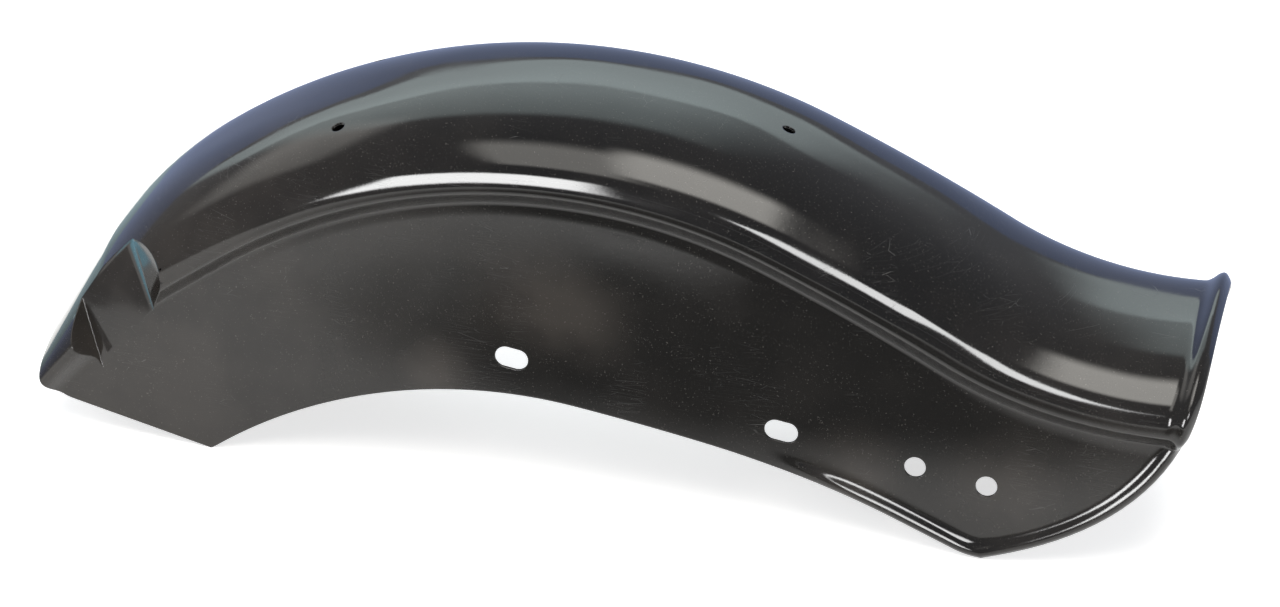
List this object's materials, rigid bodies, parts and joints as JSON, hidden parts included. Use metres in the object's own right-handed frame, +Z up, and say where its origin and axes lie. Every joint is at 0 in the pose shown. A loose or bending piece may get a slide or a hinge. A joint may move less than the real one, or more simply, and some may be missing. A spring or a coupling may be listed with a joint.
{
  "type": "rear fender",
  "caption": "Rear fender of a motorcycle: a deep steel shell with an arched crown, plain skirts for the struts, notched front corners and a rolled bead round the tail.",
  "frame": {"origin": "centre of the bounding box at the level of the four low points it stands on", "axes": "+X to the tail, +Y across to the fender's left side, +Z up as it stands"},
  "size_m": [0.7806, 0.2102, 0.2682],
  "materials": {
    "black_paint": "gloss black paint on sheet steel"
  },
  "bodies": {
    "root": {"fender_shell": "black_paint"}
  },
  "joints": []
}
